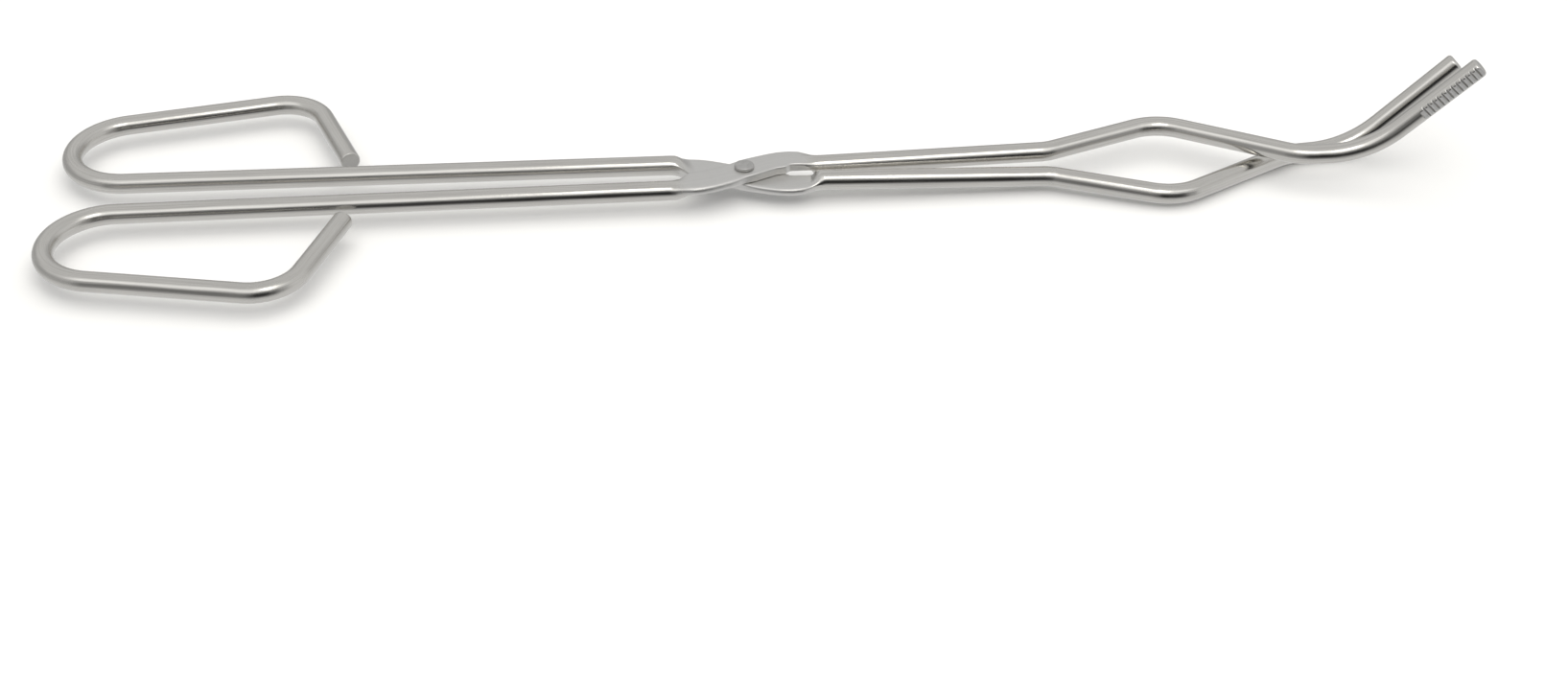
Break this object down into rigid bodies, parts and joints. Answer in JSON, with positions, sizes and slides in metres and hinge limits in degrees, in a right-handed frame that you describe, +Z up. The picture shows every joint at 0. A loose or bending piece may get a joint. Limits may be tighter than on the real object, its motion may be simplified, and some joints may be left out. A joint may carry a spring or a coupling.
{
  "type": "crucible tongs",
  "caption": "Long scissor tongs of bent round steel rod with finger loops, a bowed throat for a crucible and raised, serrated jaw tips.",
  "frame": {"origin": "on the pivot axis, at the flat underside of the rivet's lower head", "axes": "+X along the tongs from the finger loops to the jaws, +Y towards the upper arm's side of the bow, +Z up along the pivot, the way the jaw tips bend"},
  "size_m": [0.4273, 0.1124, 0.0431],
  "materials": {
    "arm_steel": "drawn stainless rod, polished along its length, satin where it is pressed flat",
    "rivet_steel": "satin stainless, set cold"
  },
  "bodies": {
    "lower_arm": {"lower_arm": "arm_steel", "pivot_rivet": "rivet_steel"},
    "upper_arm": {"upper_arm": "arm_steel"}
  },
  "joints": [
    {"name": "pivot", "type": "hinge", "parent": "lower_arm", "child": "upper_arm", "pos_m": [0, 0, 0.004], "axis": [0, 0, 1], "range_deg": [0, 110]}
  ]
}
